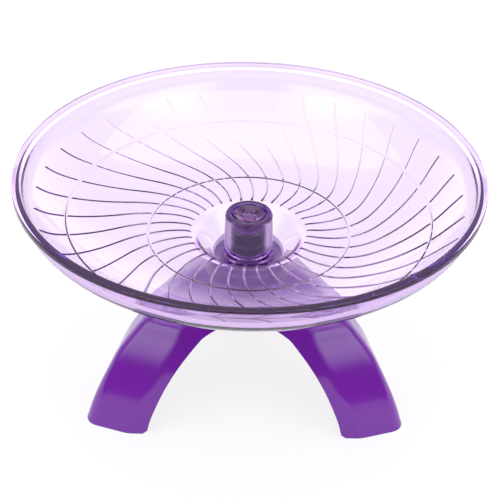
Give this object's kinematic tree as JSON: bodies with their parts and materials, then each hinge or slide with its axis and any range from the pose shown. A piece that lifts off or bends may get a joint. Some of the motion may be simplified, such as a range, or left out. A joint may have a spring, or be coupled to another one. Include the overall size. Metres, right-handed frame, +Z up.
{
  "type": "chinchilla exercise wheel",
  "caption": "Transparent saucer dish with grip ribs that spins on ball bearings over a purple three-legged arched stand, for small pets to run in.",
  "frame": {"origin": "floor under the hub's axis, centre of the bounding box's bottom face", "axes": "+Z up along the hub's axis; -Y towards the front arch, +Y towards the back leg"},
  "size_m": [0.18, 0.18, 0.1],
  "materials": {
    "clear_plastic": "clear moulded plastic, polished",
    "purple_clear_plastic": "translucent purple plastic, polished",
    "purple_plastic": "glossy purple moulded plastic",
    "bearing_steel": "ground bearing steel",
    "ball_steel": "polished balls",
    "cage_brass": "stamped brass",
    "shield_steel": "pressed steel",
    "spindle_steel": "turned steel",
    "plated_steel": "zinc plated"
  },
  "bodies": {
    "stand": {"stand": "purple_plastic", "spindle": "spindle_steel", "spindle_washer": "plated_steel", "spindle_nut": "plated_steel", "bearing_spacer_sleeve": "bearing_steel", "upper_bearing_inner_race": "bearing_steel", "lower_bearing_inner_race": "bearing_steel"},
    "dish": {"dish": "clear_plastic", "hub_cap": "purple_clear_plastic", "bearing_spacer_ring": "bearing_steel", "upper_bearing_outer_race": "bearing_steel", "upper_bearing_top_shield": "shield_steel", "upper_bearing_bottom_shield": "shield_steel", "lower_bearing_outer_race": "bearing_steel", "lower_bearing_top_shield": "shield_steel", "lower_bearing_bottom_shield": "shield_steel"},
    "upper_balls": {"upper_bearing_balls": "ball_steel", "upper_bearing_cage": "cage_brass"},
    "lower_balls": {"lower_bearing_balls": "ball_steel", "lower_bearing_cage": "cage_brass"}
  },
  "joints": [
    {"name": "dish_spin", "type": "hinge", "parent": "stand", "child": "dish", "pos_m": [0, 0, 0.0669], "axis": [0, 0, 1], "continuous": true},
    {"name": "upper_balls_spin", "type": "hinge", "parent": "stand", "child": "upper_balls", "pos_m": [0, 0, 0.0699], "axis": [0, 0, 1], "continuous": true},
    {"name": "lower_balls_spin", "type": "hinge", "parent": "stand", "child": "lower_balls", "pos_m": [0, 0, 0.0639], "axis": [0, 0, 1], "continuous": true}
  ],
  "couplings": [
    {"joint": "upper_balls_spin", "follows": "dish_spin", "ratio": 0.6158},
    {"joint": "lower_balls_spin", "follows": "dish_spin", "ratio": 0.6158}
  ]
}
